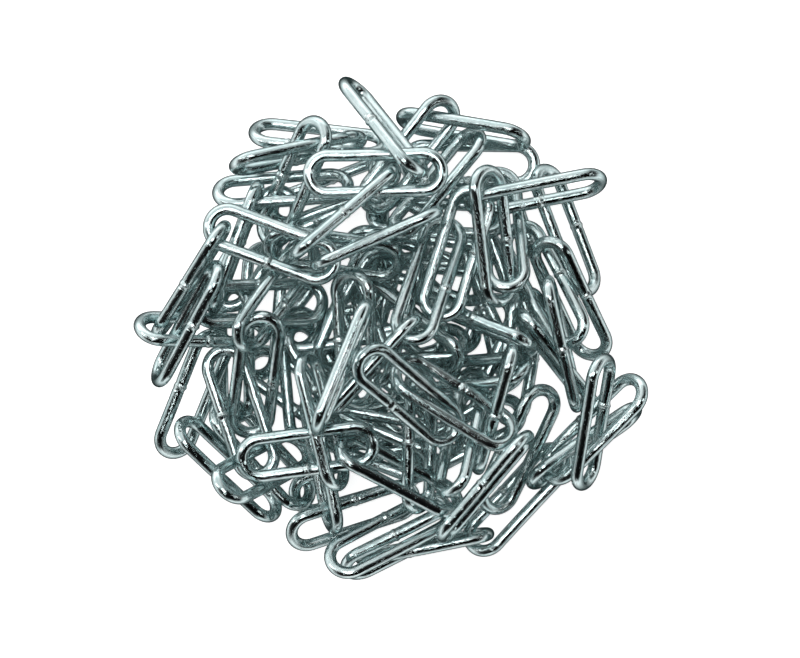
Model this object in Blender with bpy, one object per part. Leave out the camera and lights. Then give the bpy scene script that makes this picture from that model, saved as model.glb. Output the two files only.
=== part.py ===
"""Heap of bright steel chain, tipped out loose on a level floor.

The chain is long-link chain of round wire. Each link is one closed loop with two straight sides and two
round ends, and every link of the heap is its own solid. The links' places are read from above, in
millimetres from the heap's middle: the two outer tips of each link and how wide it looks, which is its
full width where it lies flat and the wire alone where it stands on edge. From there the links are threaded
through their neighbours, lowered on to the floor and pressed clear of one another, by a relaxation that
uses plain arithmetic only and so ends in the same heap each time. The links that lie under the others are
one run of chain, whose links merge where they meet.

Units are millimetres up to the objects' own places, which are in metres. +Z is up and the floor is z = 0.
"""

import math
from typing import NamedTuple

import bmesh
import bpy
import numpy as np
from mathutils import Matrix

# The link, in millimetres
WIRE = 2.5
LINK_LENGTH = 29.0
LINK_WIDTH = 10.0
BEND_RADIUS = (LINK_WIDTH - WIRE) / 2
STRAIGHT = LINK_LENGTH - LINK_WIDTH
HALF_PITCH = LINK_LENGTH / 2 - WIRE
METRES = 0.001

# How finely a link is faceted. The section's flats face the link's two broad sides.
BEND_STEPS = 5
SECTION_SIDES = 6
SECTION_RADIUS = 1.3
SECTION_FLAT = SECTION_RADIUS * math.cos(math.pi / SECTION_SIDES)
MITRED_RADIUS = SECTION_RADIUS / math.cos(math.pi / (2 * BEND_STEPS))

# Distances between the middle lines of two wires
CLEAR = 2.85
CLEAR_AT_END = 2.87
JOINED = 2.1

# Links seen from above: name, tip, other tip, width seen, tilt to left or right, climb towards the other
# tip in degrees, and height of the middle in the heap. Names say where a link lies: at the rim, half way
# up, or on top.
LINKS = (
    ("rim_link_01", -9.0, -49.3, 19.0, -40.5, 3.5, -1, 0, 5.0),
    ("rim_link_02", -11.0, -46.0, 16.5, -37.0, 6.5, 1, 0, 3.0),
    ("rim_link_03", -12.8, -46.0, 11.7, -30.3, 9.1, -1, 0, 5.0),
    ("rim_link_04", -20.0, -41.0, 7.0, -32.5, 9.0, 1, 0, 3.0),
    ("rim_link_05", 13.0, -43.0, 33.7, -22.6, 7.5, -1, 0, 2.0),
    ("rim_link_06", 20.5, -37.0, 31.5, -11.0, 8.0, 1, 0, 4.0),
    ("rim_link_07", 49.3, -12.5, 33.0, -31.0, 3.5, -1, 25, 2.0),
    ("rim_link_08", 49.5, -9.5, 31.0, -30.5, 7.5, 1, 0, 4.5),
    ("rim_link_09", 41.8, -5.3, 36.5, -29.7, 6.0, -1, -25, 6.0),
    ("rim_link_10", 26.5, 6.5, 42.3, -17.3, 4.5, 1, 0, 5.0),
    ("rim_link_11", 28.0, 11.0, 35.5, -16.5, 4.0, -1, 0, 8.0),
    ("rim_link_12", 28.0, 20.0, 37.8, -7.2, 8.0, 1, 0, 4.0),
    ("rim_link_13", 24.5, 32.0, 36.3, 5.5, 5.0, -1, 0, 7.0),
    ("rim_link_14", 25.0, 27.5, 33.0, -0.3, 8.5, 1, 0, 9.0),
    ("rim_link_15", 1.5, 36.0, 29.8, 34.8, 10.0, -1, 0, 1.1),
    ("rim_link_16", 0.4, 44.3, 27.0, 32.5, 5.5, 1, 0, 7.0),
    ("rim_link_17", -27.7, 37.0, -0.5, 38.0, 5.7, -1, 0, 3.0),
    ("rim_link_18", -33.3, 35.3, -6.0, 33.0, 6.0, 1, 0, 5.0),
    ("rim_link_19", -35.4, 28.3, -7.0, 25.5, 7.0, -1, 0, 8.0),
    ("rim_link_20", -46.7, 2.2, -32.5, 22.7, 3.5, 1, 0, 6.0),
    ("rim_link_21", -50.0, -2.3, -22.5, 4.5, 8.0, -1, 0, 4.0),
    ("rim_link_22", -43.5, -26.5, -29.0, -1.5, 8.0, 1, 0, 3.0),
    ("rim_link_23", -43.2, -17.5, -22.5, -37.5, 6.5, -1, 0, 6.0),
    ("middle_link_01", -41.3, 4.6, -12.5, 6.0, 10.0, 1, 0, 9.0),
    ("middle_link_02", -42.3, -11.4, -38.0, 16.0, 4.0, -1, 0, 6.0),
    ("middle_link_03", -36.8, 1.3, -31.5, 28.0, 3.5, 1, 0, 9.0),
    ("middle_link_04", -38.8, -5.2, -23.4, -28.5, 9.0, -1, 0, 8.0),
    ("middle_link_05", -34.5, -3.2, -14.0, 17.0, 9.1, 1, 6, 12.0),
    ("middle_link_06", -27.0, 5.4, -30.3, -21.8, 9.5, -1, -10, 11.0),
    ("middle_link_07", -13.0, 42.0, -23.3, 15.4, 8.4, 1, 0, 10.0),
    ("middle_link_08", -33.5, -31.0, -14.7, -24.3, 9.5, -1, -40, 9.0),
    ("middle_link_09", -30.9, -25.0, -7.7, -23.0, 9.5, 1, 25, 12.0),
    ("middle_link_10", -12.0, -40.8, -14.8, -12.5, 4.0, -1, 0, 8.0),
    ("middle_link_11", -6.3, -30.2, -12.0, -2.5, 7.5, 1, 0, 13.0),
    ("middle_link_12", -8.5, -20.5, 11.7, -34.8, 8.7, -1, -20, 12.5),
    ("middle_link_13", 6.5, -33.5, 12.0, -6.3, 9.0, 1, 0, 12.0),
    ("middle_link_14", 13.4, -31.2, 16.5, -5.4, 7.0, -1, -20, 9.0),
    ("middle_link_15", 8.5, -41.3, 28.0, -20.0, 4.0, 1, 0, 9.0),
    ("middle_link_16", 18.0, -29.7, 23.8, -2.2, 3.7, -1, 0, 14.0),
    ("middle_link_17", 30.2, -9.0, 2.0, -13.0, 7.0, 1, 0, 9.0),
    ("middle_link_18", 30.5, -3.0, 3.0, 6.8, 3.0, -1, 0, 12.0),
    ("middle_link_19", -7.0, 13.0, -4.0, -15.0, 8.0, 1, 0, 14.0),
    ("middle_link_20", 3.8, 12.0, -24.0, 16.0, 8.0, -1, 0, 13.0),
    ("middle_link_21", 20.5, 38.7, 0.0, 18.3, 7.0, 1, 0, 9.0),
    ("middle_link_22", 12.0, 43.2, -5.0, 20.0, 8.5, -1, 0, 10.0),
    ("top_link_01", 10.6, 24.7, -15.5, 13.8, 3.0, 1, 0, 15.0),
    ("top_link_02", -36.3, 21.7, -8.8, 11.6, 10.0, -1, 0, 15.0),
    ("top_link_03", 1.3, 33.0, -20.0, 13.7, 3.0, 1, 0, 18.0),
    ("top_link_04", -17.8, 30.6, 11.4, 30.6, 10.0, -1, 0, 18.0),
    ("top_link_05", 7.2, 31.0, -8.3, 50.2, 4.8, 1, -31, 17.0),
    ("top_link_06", 4.5, 1.2, -16.3, -19.3, 3.5, -1, 0, 16.0),
    ("top_link_07", 11.8, 22.4, 3.6, -3.7, 10.0, 1, 14, 20.0),
    ("top_link_08", 18.0, 30.3, 9.0, 2.6, 10.0, -1, -2, 19.5),
    ("top_link_09", 15.3, 22.5, 39.4, 30.3, 7.7, 1, -12, 21.0),
    ("top_link_10", 20.3, 32.4, 21.3, 3.4, 9.0, -1, -6, 19.0),
    ("top_link_11", 22.5, 33.5, 23.9, 6.0, 10.0, 1, 9, 19.5),
    ("top_link_12", -3.3, 6.3, -14.3, -22.0, 3.5, -1, 0, 17.0),
    ("top_link_13", -8.2, -4.2, 12.3, -22.5, 10.0, 1, -14, 25.0),
    ("top_link_14", -1.0, -6.0, 23.7, -22.8, 9.5, -1, 4, 26.0),
)

# The link that lies flat on the floor, and carries the face that the heap rests on
FLAT_LINK = "rim_link_15"

# Which links hang in which, as far as the heap shows it
THREADS = (
    ("rim_link_03", "rim_link_02"),
    ("rim_link_02", "rim_link_01"),
    ("rim_link_01", "rim_link_05"),
    ("rim_link_04", "middle_link_10"),
    ("rim_link_05", "rim_link_07"),
    ("rim_link_07", "rim_link_08"),
    ("rim_link_08", "rim_link_09"),
    ("rim_link_10", "rim_link_11"),
    ("rim_link_11", "rim_link_14"),
    ("rim_link_12", "rim_link_14"),
    ("rim_link_16", "middle_link_22"),
    ("rim_link_17", "rim_link_18"),
    ("rim_link_18", "middle_link_07"),
    ("rim_link_19", "middle_link_03"),
    ("rim_link_19", "middle_link_07"),
    ("rim_link_20", "rim_link_21"),
    ("rim_link_20", "top_link_02"),
    ("rim_link_21", "middle_link_02"),
    ("rim_link_22", "rim_link_23"),
    ("middle_link_01", "middle_link_03"),
    ("middle_link_04", "middle_link_06"),
    ("middle_link_04", "middle_link_08"),
    ("middle_link_05", "middle_link_06"),
    ("middle_link_05", "middle_link_20"),
    ("middle_link_09", "middle_link_12"),
    ("middle_link_12", "middle_link_13"),
    ("middle_link_16", "top_link_14"),
    ("middle_link_16", "middle_link_17"),
    ("top_link_01", "top_link_02"),
    ("top_link_03", "top_link_04"),
    ("top_link_04", "top_link_05"),
    ("top_link_06", "top_link_07"),
    ("top_link_07", "top_link_08"),
    ("top_link_08", "top_link_09"),
    ("top_link_09", "top_link_10"),
    ("top_link_10", "top_link_11"),
    ("top_link_13", "top_link_14"),
)

# The run underneath winds inwards on the floor and outwards again above itself, its links rolled half over to
# one side and the other. Where it's wound tightest, a link spans an arc whose half angle has this sine.
RUN_LINKS = 38
RUN_OUTER = 38.0
RUN_INNER = 8.0
RUN_STEP = 7.0
RUN_START = 0.9
RUN_ROLL = math.radians(45)
RUN_HEIGHTS = (3.0, 5.0)
RUN_TIGHTEST = 0.95

# The view from above that the places are read from: how far over the heap's mid height it is
VIEW_DISTANCE = 550.0
VIEW_LEVEL = 17.0

# How easily a link is pushed aside, and how firmly it keeps its place, for each part of the heap
MOBILITY = {"rim": 1.0, "middle": 0.5, "top": 0.2, "under": 1.5}
HOLD = {"rim": 1.8, "middle": 1.5, "top": 3.6, "under": 0.4}
LARGEST_PLACE_HOLD = 2.0

# The relaxation: how far the heights are drawn out at its start, how a link's turning weighs against its moving
# in square millimetres, and the most that it moves and turns in a step
SPREAD = 3.0
TURNING = 60.0
LARGEST_MOVE = 0.35
LARGEST_TURN = 0.025

# Links are eased where many push at once, and their climb is held less firmly than their roll
CROWDED = 1.3
CLIMB_HELD = 0.3
STEEPEST = 0.2

# Threaded links meet at an end if they can. They are drawn together until they're this near, by this share.
END_PREFERRED = 0.02
MET = 0.3
MEETING_SHARE = 0.2
TWIST = 0.03
JOINING_SHARE = 0.5

# Places and directions are rounded after each step, so that every machine builds the same heap
PLACE_GRAIN = 1e5
TURN_GRAIN = 1e8
TINY = 1e-9


class Stage(NamedTuple):
    """One stretch of the relaxation: its steps, how often the links look round in it and how far, the least
    distance between two wires, what that grows by and over how many steps, how far a link sinks in a step, how
    firmly it's drawn to its place, to its turn and to the links it hangs in, and how far it's lifted off others."""

    steps: int
    look_every: int
    margin: float
    clear: float
    growth: float = 0.0
    growing: int = 1
    sink: float = 0.0
    place_pull: float = 0.0
    turn_pull: float = 0.0
    draw: float = 0.3
    lift: float = 0.1
    threads_only: bool = False


THREADING = Stage(600, 3, 2.0, 0.4, 0.8, 600, 0.0, 0.03, 0.04, 0.6, 0.15, threads_only=True)
SINKING = Stage(900, 10, 2.0, 0.8, CLEAR - 0.8, 720, 0.06, 0.05, 0.12, lift=0.12)
PRESSING = Stage(450, 10, 1.2, CLEAR, sink=0.03, place_pull=0.02, turn_pull=0.08)
EASING = Stage(200, 10, 1.2, CLEAR_AT_END, sink=0.004, place_pull=0.004, turn_pull=0.01)
CLEARING = Stage(400, 10, 1.2, CLEAR_AT_END)


def dot(a, b):
    return a[..., 0] * b[..., 0] + a[..., 1] * b[..., 1] + a[..., 2] * b[..., 2]


def cross(a, b):
    return np.stack(
        [
            a[..., 1] * b[..., 2] - a[..., 2] * b[..., 1],
            a[..., 2] * b[..., 0] - a[..., 0] * b[..., 2],
            a[..., 0] * b[..., 1] - a[..., 1] * b[..., 0],
        ],
        -1,
    )


def length(a):
    return np.sqrt(dot(a, a))


def unit(a):
    return a / length(a)[..., None]


def link_line():
    """The wire's middle line in the link's own plane: one round end, then the same turned half round."""
    end = [
        (STRAIGHT / 2 + BEND_RADIUS * math.cos(turn), BEND_RADIUS * math.sin(turn))
        for turn in (math.pi * step / BEND_STEPS - math.pi / 2 for step in range(BEND_STEPS + 1))
    ]
    return np.array(end + [(-u, -v) for u, v in end])


LINE = link_line()


def wire_lines(centre, along, side):
    """The middle line of every link's wire, as points."""
    return centre[:, None] + LINE[None, :, :1] * along[:, None] + LINE[None, :, 1:] * side[:, None]


def nearest(p0, p1, q0, q1):
    """The nearest points of segments p and q, pair by pair."""
    p, q, apart = p1 - p0, q1 - q0, p0 - q0
    pp, qq, pq = dot(p, p), dot(q, q), dot(p, q)
    p_apart, q_apart = dot(p, apart), dot(q, apart)
    spread = pp * qq - pq * pq
    skew = spread > TINY
    s = np.where(skew, (pq * q_apart - p_apart * qq) / np.where(skew, spread, 1), 0.5)
    t = np.clip((pq * np.clip(s, 0, 1) + q_apart) / qq, 0, 1)
    s = np.clip((pq * t - p_apart) / pp, 0, 1)
    t = np.clip((pq * s + q_apart) / qq, 0, 1)
    return p0 + s[:, None] * p, q0 + t[:, None] * q


def linked(first, second):
    """Whether two closed lines run through each other: their crossings in plan, each signed by which line is
    above, don't cancel."""
    a0, b0 = first[:, :, None], second[:, None]
    a1, b1 = np.roll(first, -1, axis=1)[:, :, None], np.roll(second, -1, axis=1)[:, None]

    def beside(p, q, r):
        return (q[..., 0] - p[..., 0]) * (r[..., 1] - p[..., 1]) - (q[..., 1] - p[..., 1]) * (r[..., 0] - p[..., 0])

    b0_side, b1_side = beside(a0, a1, b0), beside(a0, a1, b1)
    a0_side, a1_side = beside(b0, b1, a0), beside(b0, b1, a1)
    crossing = ((b0_side > 0) != (b1_side > 0)) & ((a0_side > 0) != (a1_side > 0))
    s = a0_side / np.where(crossing, a0_side - a1_side, 1)
    t = b0_side / np.where(crossing, b0_side - b1_side, 1)
    above = a0[..., 2] + s * (a1 - a0)[..., 2] > b0[..., 2] + t * (b1 - b0)[..., 2]
    turn = np.sign((a1 - a0)[..., 0] * (b1 - b0)[..., 1] - (a1 - a0)[..., 1] * (b1 - b0)[..., 0])
    signed = np.where(crossing, np.where(above, turn, -turn), 0)
    return np.abs(signed.sum(axis=(1, 2))) > 1


def level_axes(along):
    """For each link, the level direction across it and the one square to both."""
    flat = np.sqrt(along[:, 0] ** 2 + along[:, 1] ** 2)
    across = np.stack([-along[:, 1] / flat, along[:, 0] / flat, 0 * flat], 1)
    return across, cross(along, across)


class Heap:
    """All the links at once: where each one is, where it should be, and what it hangs in."""

    def __init__(self):
        self.names = []
        self.start = []
        for name, x0, y0, x1, y1, seen, tilt, climb, height in LINKS:
            roll = tilt * math.acos(min(1.0, (seen - WIRE) / (LINK_WIDTH - WIRE)))
            self.add(name, (x0, y0), (x1, y1), roll, math.radians(climb), height)
        self.run = self.add_run()
        start = np.array(self.start)
        self.goal_place, self.goal_way = start[:, :2], start[:, 3:5]
        self.goal_sin, self.goal_cos = np.sin(start[:, 5]), np.cos(start[:, 5])
        self.goal_climb = np.sin(start[:, 6])
        level = np.cos(start[:, 6])
        self.centre = start[:, :3] * (1, 1, SPREAD)
        self.along = np.stack([start[:, 3] * level, start[:, 4] * level, self.goal_climb], 1)
        across, upright = level_axes(self.along)
        self.side = across * self.goal_cos[:, None] + upright * self.goal_sin[:, None]
        part = [name.split("_")[0] for name in self.names]
        self.mobility = np.array([MOBILITY[name] for name in part])
        self.hold = np.array([HOLD[name] for name in part])
        self.flat = self.names.index(FLAT_LINK)
        count = len(self.names)
        self.joined = np.zeros((count, count), bool)
        for first, second in zip(self.run, self.run[1:]):
            self.joined[first, second] = self.joined[second, first] = True
        hidden = np.isin(np.arange(count), self.run)
        self.merging = hidden[:, None] & hidden[None] & ~self.joined
        self.threaded = self.joined.copy()
        for pair in THREADS:
            first, second = (self.names.index(name) for name in pair)
            self.threaded[first, second] = self.threaded[second, first] = True
        self.meet = self.meeting_points()
        self.rank = self.centre[:, 2].copy()

    def add(self, name, tip, other, roll, climb, height):
        run = math.hypot(other[0] - tip[0], other[1] - tip[1])
        way = ((other[0] - tip[0]) / run, (other[1] - tip[1]) / run)
        self.names.append(name)
        self.start.append(((tip[0] + other[0]) / 2, (tip[1] + other[1]) / 2, height, *way, roll, climb))
        return len(self.names) - 1

    def add_run(self):
        """The hidden run: links end to end along a spiral, one pitch apart, in and out again."""
        radius, angle, outwards = RUN_OUTER, RUN_START, False
        tip = (radius * math.cos(angle), radius * math.sin(angle))
        run = []
        for number in range(RUN_LINKS):
            arc = 2 * math.asin(min(RUN_TIGHTEST, HALF_PITCH / radius))
            radius += (RUN_STEP if outwards else -RUN_STEP) * arc / math.tau
            angle += arc
            other = (radius * math.cos(angle), radius * math.sin(angle))
            roll = RUN_ROLL if number % 2 else -RUN_ROLL
            run.append(self.add(f"under_{number}", tip, other, roll, 0, RUN_HEIGHTS[outwards]))
            outwards = outwards or radius < RUN_INNER
            tip = other
        return run

    def meeting_points(self):
        """For each threaded pair, how far along each link from its middle the two meet: in plan, the end of one
        that lies nearest the other's middle line."""
        meet = {}
        for first, second in zip(*np.nonzero(np.triu(self.threaded))):
            best = None
            for one, two in ((first, second), (second, first)):
                for end in (-HALF_PITCH, HALF_PITCH):
                    away = self.goal_place[one] + end * self.goal_way[one] - self.goal_place[two]
                    reach = away[0] * self.goal_way[two, 0] + away[1] * self.goal_way[two, 1]
                    reach = max(-HALF_PITCH, min(HALF_PITCH, reach))
                    off = away - reach * self.goal_way[two]
                    gap = math.sqrt(off[0] ** 2 + off[1] ** 2) + END_PREFERRED * (HALF_PITCH - abs(reach))
                    if best is None or gap < best[0]:
                        best = (gap, one, two, end, reach)
            _, one, two, end, reach = best
            meet[one, two], meet[two, one] = end, reach
        return meet

    def look_round(self, margin):
        """Lists the pairs of links that are wrongly linked or unlinked, and the stretches of wire of all other
        pairs that are within reach of each other. Links of the hidden run that aren't neighbours may cross."""
        lines = wire_lines(self.centre, self.along, self.side)
        reach = LINK_LENGTH + CLEAR + margin
        between = self.centre[:, None] - self.centre[None]
        near = (dot(between, between) < reach * reach) & ~self.merging
        first, second = np.nonzero(np.triu(near, 1))
        wanted = self.threaded[first, second]
        right = linked(lines[first], lines[second]) == wanted
        self.wrong = list(zip(first[~right], second[~right], wanted[~right]))
        first, second = first[right], second[right]
        a0, b0 = lines[first], lines[second]
        a1, b1 = np.roll(a0, -1, axis=1), np.roll(b0, -1, axis=1)
        apart = (a0 + a1)[:, :, None] / 2 - (b0 + b1)[:, None] / 2
        reach = length(a1 - a0)[:, :, None] / 2 + length(b1 - b0)[:, None] / 2 + CLEAR + margin
        pair, u, v = np.nonzero(dot(apart, apart) < reach * reach)
        on_first, on_second = nearest(a0[pair, u], a1[pair, u], b0[pair, v], b1[pair, v])
        near = length(on_first - on_second) < CLEAR + margin
        self.first, self.second = first[pair][near], second[pair][near]
        self.first_part, self.second_part = u[near], v[near]
        self.is_joined = self.joined[self.first, self.second]
        self.is_threaded = self.threaded[self.first, self.second]

    def push_apart(self, lines, clear, threads_only, move, turn, touches):
        """Each two stretches of wire closer than they may be push each other straight apart."""
        following = np.roll(lines, -1, axis=1)
        first, second, u, v = self.first, self.second, self.first_part, self.second_part
        on_first, on_second = nearest(lines[first, u], following[first, u], lines[second, v], following[second, v])
        apart = on_first - on_second
        gap = np.maximum(length(apart), TINY)
        lack = np.where(self.is_joined, JOINED, clear) - gap
        self.draw_joined(on_first, on_second, gap, move, turn)
        acting = (lack > 0) & (self.is_threaded | (not threads_only))
        first, second, lack = first[acting], second[acting], lack[acting]
        push = (apart / gap[:, None])[acting]
        arm_first = cross(on_first[acting] - self.centre[first], push)
        arm_second = cross(on_second[acting] - self.centre[second], push)
        ease_first = self.mobility[first] * (1 + dot(arm_first, arm_first) / TURNING)
        ease_second = self.mobility[second] * (1 + dot(arm_second, arm_second) / TURNING)
        share = lack / (ease_first + ease_second)
        count = len(self.centre)
        for link, arm, way in ((first, arm_first, 1), (second, arm_second, -1)):
            amount = way * share * self.mobility[link]
            for axis in range(3):
                move[:, axis] += np.bincount(link, amount * push[:, axis], count)
                turn[:, axis] += np.bincount(link, amount * arm[:, axis] / TURNING, count)
            touches += np.bincount(link, minlength=count)

    def draw_joined(self, on_first, on_second, gap, move, turn):
        """Neighbours in the hidden run are drawn together where they are nearest, until their wires merge."""
        best = {}
        for row in np.nonzero(self.is_joined)[0]:
            pair = (self.first[row], self.second[row])
            if pair not in best or gap[row] < gap[best[pair]]:
                best[pair] = row
        for (first, second), row in best.items():
            slack = gap[row] - JOINED
            if slack <= 0:
                continue
            pull = (on_second[row] - on_first[row]) / gap[row]
            arm_first = cross(on_first[row] - self.centre[first], pull)
            arm_second = cross(on_second[row] - self.centre[second], pull)
            ease = 2 + (dot(arm_first, arm_first) + dot(arm_second, arm_second)) / TURNING
            amount = JOINING_SHARE * slack / ease
            move[first] += amount * pull
            move[second] -= amount * pull
            turn[first] += amount * arm_first / TURNING
            turn[second] -= amount * arm_second / TURNING

    def lift_off_floor(self, lines, move, turn, touches):
        """Points of wire below the floor push their link up."""
        low = MITRED_RADIUS - lines[:, :, 2]
        link, point = np.nonzero(low > 0)
        up = np.zeros((len(link), 3))
        up[:, 2] = 1
        arm = cross(lines[link, point] - self.centre[link], up)
        amount = low[link, point] / (1 + dot(arm, arm) / TURNING)
        count = len(self.centre)
        move[:, 2] += np.bincount(link, amount, count)
        for axis in range(3):
            turn[:, axis] += np.bincount(link, amount * arm[:, axis] / TURNING, count)
        touches += np.bincount(link, minlength=count)

    def draw_to_place(self, place_pull, turn_pull, move, turn):
        """Each link is drawn to its place in plan, its heading, its roll and its climb."""
        pull = place_pull * np.minimum(self.hold, LARGEST_PLACE_HOLD)
        nearer = np.clip(self.centre[:, 2] - VIEW_LEVEL, -VIEW_LEVEL, VIEW_LEVEL) / VIEW_DISTANCE
        goal = self.goal_place * (1 - nearer)[:, None]
        move[:, :2] += pull[:, None] * (goal - self.centre[:, :2])
        firm = turn_pull * self.hold
        flat = np.sqrt(self.along[:, 0] ** 2 + self.along[:, 1] ** 2)
        off = self.along[:, 0] * self.goal_way[:, 1] - self.along[:, 1] * self.goal_way[:, 0]
        turn[:, 2] += firm * off / np.maximum(flat, STEEPEST)
        across, upright = level_axes(self.along)
        roll_off = self.goal_sin * dot(self.side, across) - self.goal_cos * dot(self.side, upright)
        climb_off = self.goal_climb - self.along[:, 2]
        turn += (firm * roll_off)[:, None] * self.along - (CLIMB_HELD * firm * climb_off)[:, None] * across

    def mend_threads(self, draw, lift, move, turn):
        """A pair that should hang together is drawn to where it meets and rolled to opposite sides. A pair that
        shouldn't is lifted apart, the link that started higher upwards."""
        for first, second, wanted in self.wrong:
            if not wanted:
                way = 1 if self.rank[first] > self.rank[second] else -1
                move[first, 2] += lift * way
                move[second, 2] -= lift * way
                continue
            start = self.centre[first] + self.meet[first, second] * self.along[first]
            end = self.centre[second] + self.meet[second, first] * self.along[second]
            gap = float(length(end - start))
            if gap > MET:
                step = min(draw, MEETING_SHARE * gap) / (2 * gap)
                move[first] += step * (end - start)
                move[second] -= step * (end - start)
            same = 1 if float(dot(self.along[first], self.along[second])) > 0 else -1
            turn[first] += TWIST * self.along[first]
            turn[second] -= TWIST * same * self.along[second]

    def step(self, stage, clear):
        """One small move and turn of every link."""
        lines = wire_lines(self.centre, self.along, self.side)
        move, turn = np.zeros_like(self.centre), np.zeros_like(self.centre)
        push, swing, touches = np.zeros_like(move), np.zeros_like(turn), np.zeros(len(self.centre))
        self.push_apart(lines, clear, stage.threads_only, push, swing, touches)
        if not stage.threads_only:
            self.lift_off_floor(lines, push, swing, touches)
        ease = np.minimum(1.0, CROWDED / np.sqrt(np.maximum(touches, 1)))[:, None]
        move += push * ease
        turn += swing * ease
        self.draw_to_place(stage.place_pull, stage.turn_pull, move, turn)
        move[:, 2] -= stage.sink
        self.mend_threads(stage.draw, stage.lift, move, turn)
        move *= np.minimum(1, LARGEST_MOVE / np.maximum(length(move), TINY))[:, None]
        turn *= np.minimum(1, LARGEST_TURN / np.maximum(length(turn), TINY))[:, None]
        self.centre += move
        self.along = unit(self.along + cross(turn, self.along))
        self.side = self.side + cross(turn, self.side)
        self.side = unit(self.side - dot(self.side, self.along)[:, None] * self.along)
        self.lay_flat_link()
        self.centre = np.round(self.centre * PLACE_GRAIN) / PLACE_GRAIN
        self.along = np.round(self.along * TURN_GRAIN) / TURN_GRAIN
        self.side = np.round(self.side * TURN_GRAIN) / TURN_GRAIN

    def lay_flat_link(self):
        """One link stays flat on the floor."""
        way = self.along[self.flat] * (1, 1, 0)
        way /= length(way)
        self.centre[self.flat, 2] = SECTION_FLAT
        self.along[self.flat] = way
        self.side[self.flat] = (-way[1], way[0], 0)

    def go_through(self, stage):
        for number in range(stage.steps):
            if number % stage.look_every == 0:
                self.look_round(stage.margin)
            self.step(stage, stage.clear + stage.growth * min(1, number / stage.growing))

    def settle(self):
        """Threads the links as thin wire while the heap is drawn out upwards, lets it sink while the wire grows to
        its size, presses the links into their places, and at last only clear of one another."""
        self.go_through(THREADING)
        self.rank = self.centre[:, 2].copy()
        self.go_through(SINKING)
        self.take_as_it_is(of_wanted=True)
        self.go_through(PRESSING)
        self.take_as_it_is(of_wanted=False)
        self.go_through(PRESSING)
        self.go_through(EASING)
        self.go_through(CLEARING)

    def take_as_it_is(self, of_wanted):
        """Gives up threading a pair that wouldn't go, or leaves one threaded that wouldn't come apart."""
        self.look_round(PRESSING.margin)
        for first, second, wanted in self.wrong:
            if wanted == of_wanted:
                self.threaded[first, second] = self.threaded[second, first] = not wanted


def link_mesh(name):
    """One link: the section's corners carried round the middle line, mitred at its corners."""
    model = bmesh.new()
    count = len(LINE)
    rings = []
    for index, (u, v) in enumerate(LINE):
        before, after = LINE[index - 1], LINE[(index + 1) % count]
        into = np.array((u, v)) - before
        out = after - np.array((u, v))
        into, out = into / np.hypot(*into), out / np.hypot(*out)
        outward = np.array((into[1] + out[1], -into[0] - out[0]))
        outward /= np.hypot(*outward)
        mitre = 1 / (outward[0] * into[1] - outward[1] * into[0])
        ring = []
        for corner in range(SECTION_SIDES):
            angle = math.tau * corner / SECTION_SIDES
            off = SECTION_RADIUS * math.cos(angle) * mitre
            place = (u + off * outward[0], v + off * outward[1], SECTION_RADIUS * math.sin(angle))
            ring.append(model.verts.new([value * METRES for value in place]))
        rings.append(ring)
    for index in range(count):
        ring, following = rings[index], rings[(index + 1) % count]
        for corner in range(SECTION_SIDES):
            beside = (corner + 1) % SECTION_SIDES
            model.faces.new((ring[corner], following[corner], following[beside], ring[beside]))
    bmesh.ops.recalc_face_normals(model, faces=model.faces)
    mesh = bpy.data.meshes.new(name)
    model.to_mesh(mesh)
    model.free()
    mesh.shade_smooth()
    return mesh


def bright_zinc():
    material = bpy.data.materials.new("bright_zinc")
    material.use_nodes = True
    shader = material.node_tree.nodes["Principled BSDF"]
    shader.inputs["Base Color"].default_value = (0.62, 0.68, 0.68, 1)
    shader.inputs["Metallic"].default_value = 1
    shader.inputs["Roughness"].default_value = 0.22
    return material


def put_link(name, mesh, centre, along, side):
    """A link as an object, placed by its own location and rotation."""
    normal = cross(along, side)
    link = bpy.data.objects.new(name, mesh)
    rows = [
        (along[axis], side[axis], normal[axis], centre[axis] * METRES) for axis in range(3)
    ]
    link.matrix_world = Matrix(rows + [(0, 0, 0, 1)])
    bpy.context.scene.collection.objects.link(link)
    return link


def middle_of_plan(mesh, heap):
    """The middle, in plan, of the box round all the links' corners."""
    corners = np.array([vertex.co for vertex in mesh.vertices]) / METRES
    normal = cross(heap.along, heap.side)
    placed = sum(
        corners[None, :, axis, None] * direction[:, None]
        for axis, direction in enumerate((heap.along, heap.side, normal))
    )
    placed = (placed + heap.centre[:, None]).reshape(-1, 3)
    return (placed.min(axis=0) + placed.max(axis=0)) / 2 * (1, 1, 0)


def join_run(links):
    """Makes the run underneath one solid: the first link, with each other one united to it."""
    first, rest = links[0], links[1:]
    first.name = "hidden_chain"
    for number, link in enumerate(rest, 1):
        union = first.modifiers.new(f"join_{number}", "BOOLEAN")
        union.operation = "UNION"
        union.object = link
    model = bmesh.new()
    model.from_object(first, bpy.context.evaluated_depsgraph_get())
    fill_hollows(model)
    joined = bpy.data.meshes.new("hidden_chain")
    model.to_mesh(joined)
    model.free()
    joined.shade_smooth()
    joined.materials.append(first.active_material)
    first.modifiers.clear()
    first.data = joined
    for link in rest:
        bpy.data.objects.remove(link)


def fill_hollows(model):
    """Takes away the walls of hollows that are sealed in where several links cross: each closed shell of faces
    whose volume, counted with the way that it faces, isn't positive."""
    left = set(model.faces)
    while left:
        shell, found = set(), [left.pop()]
        while found:
            face = found.pop()
            shell.add(face)
            beside = {other for edge in face.edges for other in edge.link_faces} & left
            left -= beside
            found += beside
        volume = sum(
            face.verts[0].co.dot(one.co.cross(two.co))
            for face in shell
            for one, two in zip(face.verts[1:], face.verts[2:])
        )
        if volume <= 0:
            bmesh.ops.delete(model, geom=list(shell), context="FACES")


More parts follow.
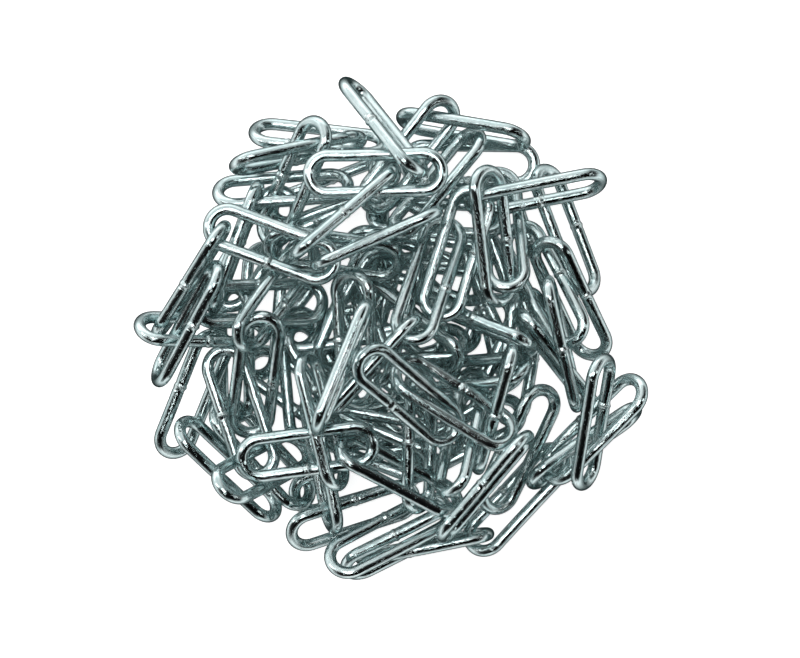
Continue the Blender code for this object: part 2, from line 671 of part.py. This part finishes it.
def main():
    for thing in list(bpy.data.objects):
        bpy.data.objects.remove(thing, do_unlink=True)
    heap = Heap()
    heap.settle()
    mesh = link_mesh("link")
    mesh.materials.append(bright_zinc())
    centre = heap.centre - middle_of_plan(mesh, heap)
    links = [
        put_link(name, mesh, centre[index], heap.along[index], heap.side[index])
        for index, name in enumerate(heap.names)
    ]
    join_run([links[index] for index in heap.run])


main()
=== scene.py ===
"""Heap of bright zinc-plated steel chain: the looks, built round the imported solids.

Every link of the frame is a coarse six-sided loop. Here each gets a finely rounded link in the same place,
with its butt weld, the drawn wire's lengthwise lines and the mirror-like plate.

Lengths inside a link are millimetres. What goes into the scene is in metres, +Z up, with the heap on z = 0.
"""

import math

import bmesh
import bpy
import numpy as np
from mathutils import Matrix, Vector

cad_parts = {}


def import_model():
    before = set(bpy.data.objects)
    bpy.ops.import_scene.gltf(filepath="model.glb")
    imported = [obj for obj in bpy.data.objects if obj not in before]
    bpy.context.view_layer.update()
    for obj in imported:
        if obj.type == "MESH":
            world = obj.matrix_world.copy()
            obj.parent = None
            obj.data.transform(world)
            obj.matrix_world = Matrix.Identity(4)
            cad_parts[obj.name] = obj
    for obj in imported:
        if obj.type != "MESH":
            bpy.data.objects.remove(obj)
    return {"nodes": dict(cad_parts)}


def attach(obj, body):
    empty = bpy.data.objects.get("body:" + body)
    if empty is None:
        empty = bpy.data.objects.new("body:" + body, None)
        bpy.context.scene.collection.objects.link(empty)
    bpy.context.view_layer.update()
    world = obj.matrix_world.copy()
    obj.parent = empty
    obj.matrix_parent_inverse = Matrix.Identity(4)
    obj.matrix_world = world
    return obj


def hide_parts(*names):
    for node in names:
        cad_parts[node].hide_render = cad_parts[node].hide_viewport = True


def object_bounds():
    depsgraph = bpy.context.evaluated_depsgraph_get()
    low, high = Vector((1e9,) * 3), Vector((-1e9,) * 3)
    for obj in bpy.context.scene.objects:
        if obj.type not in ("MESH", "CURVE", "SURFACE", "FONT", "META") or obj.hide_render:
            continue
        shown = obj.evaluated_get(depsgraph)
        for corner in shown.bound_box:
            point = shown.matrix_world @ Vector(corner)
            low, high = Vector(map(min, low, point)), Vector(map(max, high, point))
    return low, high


# Metres in a millimetre
METRES = 0.001

# The link, in millimetres
WIRE_RADIUS = 1.25
BEND_RADIUS = 3.75
STRAIGHT = 19.0
BEND = math.pi * BEND_RADIUS
ROUND_TRIP = 2 * STRAIGHT + 2 * BEND

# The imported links' own six-sided wire: how far its corners lie from its middle line, the turn from one face
# to the next and the slack in it, and the shortest piece of an edge that is read
SECTION_RADIUS = 1.3
SECTION_TURN = math.radians(60)
SECTION_SLACK = math.radians(3)
SHORTEST_EDGE = 0.3

# How close two measures of one place come, how far parallel directions' product may be from one, and the
# distance within which corners are one
SAME_PLACE = 0.05
PARALLEL = 0.0001
MERGED = 0.001

# The rounds in which sides are paired: how far a side may be from its full length, and how far the two may
# stand off level
PAIRINGS = ((0.5, 0.05), (0.5, 0.6), (6.0, 3.0))

# How finely a link is divided: points round the wire, then rings on a round end, half a side and half a weld
SECTION_SIDES = 28
BEND_RINGS = 20
STRAIGHT_RINGS = 6
WELD_RINGS = 10

# The butt weld: its reach each way, the bead and how much higher it is on one side of the wire, and the
# grooves beside it
WELD_REACH = 1.3
BEAD_HEIGHT = 0.13
BEAD_WIDTH = 0.3
BEAD_LEAN = 0.35
GROOVE_DEPTH = 0.05
GROOVE_AT = 0.75
GROOVE_WIDTH = 0.22

# At the weld: how far the wire's ends stand out of line and how soon that dies away, and how far the burnt
# plate reaches
WELD_STEP = 0.07
STEP_REACH = 2.5
BURN_REACH = 0.55

# How far a weld may lie from its side's middle, by chance and as seen, and the least share, squared, of a
# steep side's length that counts as showing in plan
WELD_SPREAD = 2.0
WELD_LIMIT = 7
LEAST_LEVEL = 0.2

# How far a straight side may bow, the length of drawn wire that the links are cut from, and the seed of
# every unevenness
BOW = 0.1
WIRE_LENGTH = 1000
SEED = 7

# Welds that show: the link, and about where its weld lies in plan, in millimetres from the middle of the
# photograph's heap
WELDS = {
    "top_link_04": (-2.8, 26.5),
    "top_link_02": (-24.2, 14.6),
    "middle_link_07": (-20.7, 30.7),
    "top_link_03": (-9.0, 23.0),
    "top_link_05": (-3.7, 42.0),
    "top_link_09": (30.3, 25.0),
    "top_link_08": (17.7, 15.2),
    "top_link_07": (11.7, 8.0),
    "top_link_10": (24.4, 18.3),
    "middle_link_18": (16.5, 2.3),
    "top_link_14": (14.0, -12.0),
    "top_link_13": (-0.2, -15.0),
    "middle_link_12": (4.0, -26.5),
    "middle_link_06": (-24.7, -10.7),
    "middle_link_05": (-20.5, 4.0),
    "middle_link_08": (-24.0, -23.7),
    "rim_link_23": (-34.5, -28.5),
    "rim_link_04": (-7.7, -33.9),
    "rim_link_03": (-2.0, -36.3),
    "rim_link_01": (4.0, -46.0),
    "middle_link_15": (18.0, -30.5),
    "rim_link_05": (25.0, -35.0),
    "rim_link_09": (41.5, -14.8),
    "rim_link_17": (-21.4, 32.7),
}

# The camera looks straight down. Its height above the heap's middle and the width that it sees are metres,
# and its sensor's width is millimetres. In plan, in millimetres: where the middle of the photograph's heap
# lies in the frame, and where the picture's own middle lies from it.
CAMERA_HEIGHT = 0.55
VIEW_WIDTH = 0.16
SENSOR_WIDTH = 36.0
HEAP_MIDDLE = (0.2, -0.06)
PICTURE_MIDDLE = (1.8, 0.2)

# The room, as light from each direction. By height: from straight down at nought, by the level at a half, to
# straight up at one
ROOM_BY_HEIGHT = (
    (0.0, (0.02, 0.035, 0.035, 1)),
    (0.16, (0.05, 0.065, 0.065, 1)),
    (0.30, (0.46, 0.49, 0.49, 1)),
    (0.50, (1.32, 1.33, 1.33, 1)),
    (0.63, (1.15, 1.15, 1.15, 1)),
    (0.69, (0.52, 0.52, 0.52, 1)),
    (0.74, (0.08, 0.08, 0.08, 1)),
    (0.81, (0.03, 0.03, 0.03, 1)),
    (0.92, (0.016, 0.015, 0.015, 1)),
)

# How parts of it differ: the way to a part's middle, how its light joins the rest, and its light, from
# facing away at nought to that way itself at one
ROOM_PARTS = (
    ((0.42, -0.55, 0.72), "MULTIPLY", ((0.88, (1.0, 1.0, 1.0, 1)), (0.95, (0.15, 0.16, 0.16, 1)))),
    ((0.72, 0.54, 0.44), "MULTIPLY", ((0.92, (1.0, 1.0, 1.0, 1)), (0.97, (0.15, 0.16, 0.16, 1)))),
    ((-0.50, -0.75, 0.44), "MULTIPLY", ((0.93, (1.0, 1.0, 1.0, 1)), (0.98, (0.20, 0.21, 0.21, 1)))),
    (
        (-0.35, 0.72, 0.60),
        "ADD",
        ((0.82, (0.0, 0.0, 0.0, 1)), (0.87, (0.58, 0.59, 0.59, 1)), (0.96, (1.08, 1.08, 1.08, 1))),
    ),
)

# Soft boxes: name, bearing from +X towards +Y and elevation in degrees, distance, width and height in
# metres, and radiance
SOFT_BOXES = (
    ("key", 122, 82, 0.8, 0.22, 0.24, 7),
    ("left", 168, 40, 0.8, 0.14, 0.40, 3.2),
    ("right", 0, 45, 0.9, 0.08, 0.35, 3),
    ("front", 235, 68, 0.8, 0.14, 0.05, 6),
)

# The plate's colours, from its darker to its brighter parts and where it is burnt at a weld, and the height
# of its unevenness in metres
DULL_ZINC = (0.36, 0.48, 0.485, 1)
CLEAR_ZINC = (0.70, 0.785, 0.785, 1)
BURNT_ZINC = (0.62, 0.66, 0.65, 1)
BUMP_HEIGHT = 0.00003

# The floor, in metres: how far it lies below nought, as the round wire and its beads reach lower than the
# packed links, and its width. Then its grey, its roughness and its own glow.
FLOOR_DROP = 0.00036
FLOOR_SIZE = 3.0
FLOOR_GREY = (0.9, 0.9, 0.9, 1)
FLOOR_ROUGHNESS = 0.9
FLOOR_GLOW = 0.85


def long_edges(node):
    """Every lengthwise edge of the wires in a node: its two ends, its direction and the way from it to the
    wire's middle line. Such an edge is a corner of the six-sided section, so it lies a section's radius out
    from the middle line, half way between its two faces' normals."""
    model = bmesh.new()
    model.from_mesh(node.data)
    bmesh.ops.remove_doubles(model, verts=model.verts, dist=MERGED * METRES)
    ends, ways, inward = [], [], []
    for edge in model.edges:
        if len(edge.link_faces) != 2 or edge.calc_length() < SHORTEST_EDGE * METRES:
            continue
        first, second = (face.normal for face in edge.link_faces)
        if abs(first.angle(second, 0) - SECTION_TURN) > SECTION_SLACK:
            continue
        ends.append([np.array(corner.co) / METRES for corner in edge.verts])
        ways.append(np.array((edge.verts[1].co - edge.verts[0].co).normalized()))
        inward.append(np.array((first + second).normalized()) * -SECTION_RADIUS)
    model.free()
    return np.array(ends), np.array(ways), np.array(inward)


def straight_sides(node, side_slack):
    """Every straight side of the links in a node: the middle of its middle line and the line's direction.
    Where links are fused an edge may be cut into pieces, so the pieces on one line are taken together."""
    ends, ways, inward = long_edges(node)
    lengths = np.linalg.norm(ends[:, 1] - ends[:, 0], axis=1)
    left = np.ones(len(ends), bool)
    sides = []
    for first in np.argsort(-lengths, kind="stable"):
        if not left[first]:
            continue
        way, start = ways[first], ends[first, 0]
        from_start = ends - start
        off = np.linalg.norm(from_start - (from_start @ way)[..., None] * way, axis=2).max(1)
        piece = left & (off < SAME_PLACE)
        left &= ~piece
        reach = from_start[piece] @ way
        if abs(np.ptp(reach) - STRAIGHT) > side_slack:
            continue
        middle = start + way * (reach.max() + reach.min()) / 2 + inward[first]
        if all(np.linalg.norm(middle - other) > SAME_PLACE for other, _ in sides):
            sides.append((middle, way))
    return sides


def on_link(link, middle):
    """Whether a side's middle lies on one of a link's own two side lines."""
    centre, along, side, upright = link
    off = middle - centre
    beside = abs(abs(off @ side) - BEND_RADIUS) < SAME_PLACE
    return beside and abs(off @ upright) < SAME_PLACE and abs(off @ along) < STRAIGHT / 2


def links_in(node):
    """The centre and the long, side and upright directions of every link in a node: its two straight sides
    run two bend radii apart, level with each other. Fused sides can be cut short, so those that stand off
    level by more are paired last, and only where no link was found before."""
    links = []
    for side_slack, level_slack in PAIRINGS:
        sides = [
            (middle, way)
            for middle, way in straight_sides(node, side_slack)
            if not any(on_link(link, middle) for link in links)
        ]
        for number, (middle, way) in enumerate(sides):
            for other, other_way in sides[number + 1 :]:
                ahead = (other - middle) @ way
                between = other - middle - ahead * way
                apart = abs(np.linalg.norm(between) - 2 * BEND_RADIUS) < SAME_PLACE
                if abs(ahead) > level_slack or not apart or abs(way @ other_way) < 1 - PARALLEL:
                    continue
                if any(on_link(link, middle) or on_link(link, other) for link in links):
                    continue
                along, side = way.copy(), between / np.linalg.norm(between)
                along *= np.sign(along[np.argmax(np.abs(along))])
                side *= np.sign(side[np.argmax(np.abs(side))])
                links.append(((middle + other) / 2, along, side, np.cross(along, side)))
    return links


def middle_line(distance):
    """The wire's middle line in the link's plane, and its outward direction there, for distances along it
    from the middle of the first straight side: half a side, a round end, a side, a round end, and half a
    side. The second half of the way round is the first, turned half round."""
    distance = np.mod(distance, ROUND_TRIP)
    half = ROUND_TRIP / 2
    turned = (distance >= STRAIGHT / 2 + BEND / 2) & (distance < STRAIGHT / 2 + BEND / 2 + half)
    local = np.where(turned, distance - half, distance)
    local = np.where(local > half, local - ROUND_TRIP, local)
    past = np.clip(np.abs(local) - STRAIGHT / 2, 0, None) / BEND_RADIUS
    reach = np.clip(np.abs(local), 0, STRAIGHT / 2) + BEND_RADIUS * np.sin(past)
    outward = np.stack([np.sign(local) * np.sin(past), np.cos(past)], 1)
    point = np.stack([np.sign(local) * reach, BEND_RADIUS * np.cos(past)], 1)
    way = np.where(turned, -1.0, 1.0)[:, None]
    return point * way, outward * way


def ring_distances(weld):
    """Where the rings of the mesh lie: close together over the weld and round the ends, wide on the sides.
    The first lies at the weld."""
    half = STRAIGHT / 2
    stops = [(weld, 0), (weld + WELD_REACH, WELD_RINGS), (half, STRAIGHT_RINGS)]
    stops += [(half + BEND, BEND_RINGS), (half + BEND + STRAIGHT, 2 * STRAIGHT_RINGS)]
    stops += [(half + 2 * BEND + STRAIGHT, BEND_RINGS), (ROUND_TRIP + weld - WELD_REACH, STRAIGHT_RINGS)]
    stops += [(ROUND_TRIP + weld, WELD_RINGS)]
    runs = [
        np.linspace(start, end, count, endpoint=False)
        for (start, _), (end, count) in zip(stops, stops[1:])
    ]
    return np.concatenate(runs)


def weld_shape(off, turn, lean):
    """How far the surface stands proud of the wire near the weld: a bead of a bell's shape, higher on one
    side of the wire, between two shallow grooves."""
    bead = BEAD_HEIGHT * np.exp(-((off / BEAD_WIDTH) ** 2))
    groove = GROOVE_DEPTH * np.exp(-(((np.abs(off) - GROOVE_AT) / GROOVE_WIDTH) ** 2))
    return bead[:, None] * (1 + BEAD_LEAN * np.cos(turn + lean)[None]) - groove[:, None]


def link_grid(axes, weld, second_side, draws):
    """The link's surface as rings of points: the section's circle carried round the middle line, which bows
    as a parabola on the straight sides. Near the weld the two ends of the wire stand a little out of line.
    Also each point's place on the drawn wire, and how near the weld it is, as a bell's shape."""
    centre, along, side, upright = axes
    if second_side:
        along, side = -along, -side
    distance = ring_distances(weld)
    line, outward = middle_line(distance)
    off = np.mod(distance - weld + ROUND_TRIP / 2, ROUND_TRIP) - ROUND_TRIP / 2
    turn = np.linspace(0, math.tau, SECTION_SIDES, endpoint=False)
    bow = BOW * draws.uniform(-1, 1) * np.clip(1 - (2 * line[:, 0] / STRAIGHT) ** 2, 0, 1)
    step = WELD_STEP * draws.uniform(-1, 1) * np.sign(off) * np.exp(-((off / STEP_REACH) ** 2))
    radius = WIRE_RADIUS + weld_shape(off, turn, draws.uniform(0, math.tau))
    flat = line + outward * bow[:, None]
    across = np.cos(turn)[None, :] * radius
    lift = np.sin(turn)[None, :] * radius + step[:, None]
    points = (
        centre
        + (flat[:, None, :1] + across[..., None] * outward[:, None, :1]) * along
        + (flat[:, None, 1:] + across[..., None] * outward[:, None, 1:]) * side
        + lift[..., None] * upright
    )
    start = draws.uniform(0, WIRE_LENGTH)
    drawn = np.stack(
        np.broadcast_arrays(
            start + (distance - distance[0])[:, None],
            WIRE_RADIUS * np.cos(turn)[None],
            WIRE_RADIUS * np.sin(turn)[None],
        ),
        -1,
    )
    weldness = np.broadcast_to(np.exp(-((off / BURN_REACH) ** 2))[:, None], drawn.shape[:2])
    return points, drawn, weldness


def ring_faces(rings, sides):
    """The four corners of every face between a ring and the next, all round."""
    ring, side = np.meshgrid(np.arange(rings), np.arange(sides), indexing="ij")
    next_ring, next_side = (ring + 1) % rings, (side + 1) % sides
    corners = (ring * sides + side, ring * sides + next_side)
    corners += (next_ring * sides + next_side, next_ring * sides + side)
    return np.stack([corner.ravel() for corner in corners], 1)


def put_mesh(name, points, faces):
    """A mesh object from arrays of points, in millimetres, and of four-cornered faces."""
    mesh = bpy.data.meshes.new(name)
    mesh.vertices.add(len(points))
    mesh.vertices.foreach_set("co", (points * METRES).ravel())
    mesh.loops.add(faces.size)
    mesh.loops.foreach_set("vertex_index", faces.ravel())
    mesh.polygons.add(len(faces))
    mesh.polygons.foreach_set("loop_start", np.arange(len(faces)) * 4)
    mesh.update(calc_edges=True)
    mesh.validate()
    mesh.shade_smooth()
    piece = bpy.data.objects.new(name, mesh)
    bpy.context.scene.collection.objects.link(piece)
    return piece


def weld_place(name, axes, draws):
    """On which straight side of the link its weld lies, and how far from the side's middle: as seen in the
    photograph, or else by chance."""
    spread = draws.uniform(-WELD_SPREAD, WELD_SPREAD)
    chance = draws.uniform() < 0.5
    if name not in WELDS:
        return spread, chance
    centre, along, side, _ = axes
    seen = np.array(WELDS[name]) + HEAP_MIDDLE
    offset = seen - centre[:2]
    places = []
    for second in (False, True):
        way = -1 if second else 1
        from_side = offset - way * BEND_RADIUS * side[:2]
        level = max(float(along[:2] @ along[:2]), LEAST_LEVEL)
        reach = float(np.clip(way * (from_side @ along[:2]) / level, -WELD_LIMIT, WELD_LIMIT))
        gap = float(np.linalg.norm(from_side - way * reach * along[:2]))
        places.append((gap, reach, second))
    _, reach, second = min(places)
    return reach, second


def fine_piece(name, node, finish, draws):
    """The finely rounded links that stand for a node, as one piece."""
    grids = []
    for axes in links_in(node):
        weld, second_side = weld_place(name, axes, draws)
        grids.append(link_grid(axes, weld, second_side, draws))
    points, drawn, weldness = (np.concatenate(each) for each in zip(*grids))
    rings, sides = grids[0][0].shape[:2]
    faces = ring_faces(rings, sides)
    faces = np.concatenate([faces + number * rings * sides for number in range(len(grids))])
    piece = put_mesh(f"fine_{name}", points.reshape(-1, 3), faces)
    wire = piece.data.attributes.new("drawn", "FLOAT_VECTOR", "POINT")
    wire.data.foreach_set("vector", drawn.ravel().astype(np.float32))
    weld = piece.data.attributes.new("weld", "FLOAT", "POINT")
    weld.data.foreach_set("value", weldness.ravel().astype(np.float32))
    piece.data.materials.append(finish)
    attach(piece, "root")
    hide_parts(name)


class Value:
    """One output in a material's nodes. Arithmetic on it adds Math nodes, with numbers on either side."""

    def __init__(self, finish, socket):
        self.finish = finish
        self.socket = socket

    def math(self, operation, first, second):
        return self.finish.node("ShaderNodeMath", {"operation": operation}, {0: first, 1: second})

    def __add__(self, other):
        return self.math("ADD", self, other)

    def __sub__(self, other):
        return self.math("SUBTRACT", self, other)

    def __rsub__(self, other):
        return self.math("SUBTRACT", other, self)

    def __mul__(self, other):
        return self.math("MULTIPLY", self, other)

    __radd__ = __add__
    __rmul__ = __mul__


class Finish:
    """A material, or the world, as its node tree."""

    def __init__(self, owner):
        self.owner = owner
        owner.use_nodes = True
        self.tree = owner.node_tree

    def node(self, kind, settings=None, sockets=None, out=0):
        """A new node's output. Its settings are set first, then the values or links of its sockets."""
        made = self.tree.nodes.new(kind)
        for name, value in (settings or {}).items():
            if name == "stops":
                self.set_stops(made.color_ramp.elements, value)
            else:
                setattr(made, name, value)
        self.fill(made, sockets or {})
        return Value(self, made.outputs[out])

    def fill(self, made, sockets):
        """Links a node's sockets to outputs, or sets them to plain values."""
        for name, value in sockets.items():
            if isinstance(value, Value):
                self.tree.links.new(value.socket, made.inputs[name])
            else:
                made.inputs[name].default_value = value

    def set_stops(self, elements, stops):
        """A ramp's stops, as pairs of place and colour."""
        while len(elements) < len(stops):
            elements.new(1.0)
        for element, (place, colour) in zip(elements, stops):
            element.position = place
            element.color = colour

    def mix(self, blend, factor, first, second):
        """The second colour over the first. A Mix node's colour sockets are known by their numbers."""
        return self.node(
            "ShaderNodeMix",
            {"data_type": "RGBA", "blend_type": blend},
            {"Factor": factor, 6: first, 7: second},
            out=2,
        )


def bright_zinc():
    """Bright zinc on drawn wire: lengthwise lines that follow the wire, soft dents that make the reflections
    waver, pits, and a duller burnt weld."""
    finish = Finish(bpy.data.materials.new("bright_zinc"))
    place = finish.node("ShaderNodeAttribute", {"attribute_name": "drawn"}, out="Vector")
    weld = finish.node("ShaderNodeAttribute", {"attribute_name": "weld"}, out="Fac")

    def noise(stretch, detail, rough=0.5):
        at = finish.node("ShaderNodeVectorMath", {"operation": "MULTIPLY"}, {0: place, 1: stretch})
        return finish.node(
            "ShaderNodeTexNoise", {}, {"Vector": at, "Scale": 1, "Detail": detail, "Roughness": rough}
        )

    lines = noise((0.09, 2.6, 2.6), 5, 0.6)
    hair = noise((0.3, 9, 9), 2)
    dents = noise((0.4, 0.55, 0.55), 2)
    grain = noise((0.4, 3.5, 3.5), 3, 0.6)
    pits = noise((1.4, 3.0, 3.0), 3, 0.65)
    pitted = finish.node("ShaderNodeMapRange", {}, {"Value": pits, "From Min": 0.64, "From Max": 0.72})
    cloud = noise((0.12, 0.3, 0.3), 3)
    tone = cloud * 0.5 + lines * 0.5 - pitted * 0.2
    colour = finish.node(
        "ShaderNodeValToRGB",
        {"stops": ((0.3, DULL_ZINC), (0.7, CLEAR_ZINC))},
        {"Fac": tone},
    )
    burnt = finish.mix("MIX", weld * 0.35, colour, BURNT_ZINC)
    roughness = 0.04 + hair * 0.06 + pitted * 0.2 + weld * 0.12
    height = lines * 2.0 + hair * 0.7 + grain * 1.1 + dents * 1.5 - pitted * 0.7 + weld * pits * 1.6
    bump = finish.node(
        "ShaderNodeBump", {}, {"Strength": 1, "Distance": BUMP_HEIGHT, "Height": height}, out="Normal"
    )
    shader = finish.tree.nodes["Principled BSDF"]
    finish.fill(shader, {"Base Color": burnt, "Metallic": 1, "Roughness": roughness, "Normal": bump})
    return finish.owner


def lay_floor():
    """A plain pale floor that reaches well past the heap. The wire doesn't mirror it, because the
    photograph's own ground is cut away."""
    mesh = bpy.data.meshes.new("floor")
    half = FLOOR_SIZE / 2
    corners = [(x, y, -FLOOR_DROP) for x, y in ((-half, -half), (half, -half), (half, half), (-half, half))]
    mesh.from_pydata(corners, [], [(0, 1, 2, 3)])
    floor = bpy.data.objects.new("floor", mesh)
    floor.visible_glossy = False
    bpy.context.scene.collection.objects.link(floor)
    finish = Finish(bpy.data.materials.new("pale_floor"))
    shader = finish.tree.nodes["Principled BSDF"]
    finish.fill(
        shader,
        {
            "Base Color": FLOOR_GREY,
            "Roughness": FLOOR_ROUGHNESS,
            "Emission Color": (1, 1, 1, 1),
            "Emission Strength": FLOOR_GLOW,
        },
    )
    mesh.materials.append(finish.owner)


def light_studio():
    """The room as the world: dark overhead and below, with a pale band round the level, three darker parts
    and a pale wall beyond the photograph's top. Soft boxes add the bright streaks along the wire."""
    world = bpy.data.worlds.new("studio")
    bpy.context.scene.world = world
    finish = Finish(world)
    way = finish.node("ShaderNodeTexCoord", out="Generated")
    upward = finish.node("ShaderNodeSeparateXYZ", {}, {0: way}, out="Z")
    room = finish.node("ShaderNodeValToRGB", {"stops": ROOM_BY_HEIGHT}, {"Fac": upward * 0.5 + 0.5})
    for middle, joined, stops in ROOM_PARTS:
        towards = finish.node(
            "ShaderNodeVectorMath", {"operation": "DOT_PRODUCT"}, {0: way, 1: middle}, out="Value"
        )
        part = finish.node("ShaderNodeValToRGB", {"stops": stops}, {"Fac": towards * 0.5 + 0.5})
        room = finish.mix(joined, 1.0, room, part)
    finish.fill(finish.tree.nodes["Background"], {"Color": room, "Strength": 1.0})
    for box in SOFT_BOXES:
        soft_box(*box)


def soft_box(name, bearing, elevation, distance, width, height, radiance):
    """A rectangular light that faces the heap."""
    light = bpy.data.lights.new(name, "AREA")
    light.shape = "RECTANGLE"
    light.size, light.size_y = width, height
    light.energy = radiance * math.pi * width * height
    turn, rise = math.radians(bearing), math.radians(elevation)
    way = Vector((math.cos(turn) * math.cos(rise), math.sin(turn) * math.cos(rise), math.sin(rise)))
    lamp = bpy.data.objects.new(name, light)
    lamp.location = way * distance
    lamp.rotation_euler = way.to_track_quat("Z", "Y").to_euler()
    lamp.visible_camera = False
    bpy.context.scene.collection.objects.link(lamp)


def place_camera(box):
    """Straight above the heap, with the photograph's top towards +Y."""
    camera = bpy.data.objects.new("camera", bpy.data.cameras.new("camera"))
    camera.data.sensor_width = SENSOR_WIDTH
    camera.data.lens = SENSOR_WIDTH * CAMERA_HEIGHT / VIEW_WIDTH
    middle_height = (box[1].z + box[0].z) / 2
    camera.location = (
        (PICTURE_MIDDLE[0] + HEAP_MIDDLE[0]) * METRES,
        (PICTURE_MIDDLE[1] + HEAP_MIDDLE[1]) * METRES,
        middle_height + CAMERA_HEIGHT,
    )
    bpy.context.scene.collection.objects.link(camera)
    bpy.context.scene.camera = camera


def main():
    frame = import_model()
    cad_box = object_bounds()
    draws = np.random.default_rng(SEED)
    bpy.context.scene.view_settings.view_transform = "Standard"
    finish = bright_zinc()
    for name in sorted(frame["nodes"]):
        fine_piece(name, frame["nodes"][name], finish, draws)
    lay_floor()
    light_studio()
    place_camera(cad_box)


main()
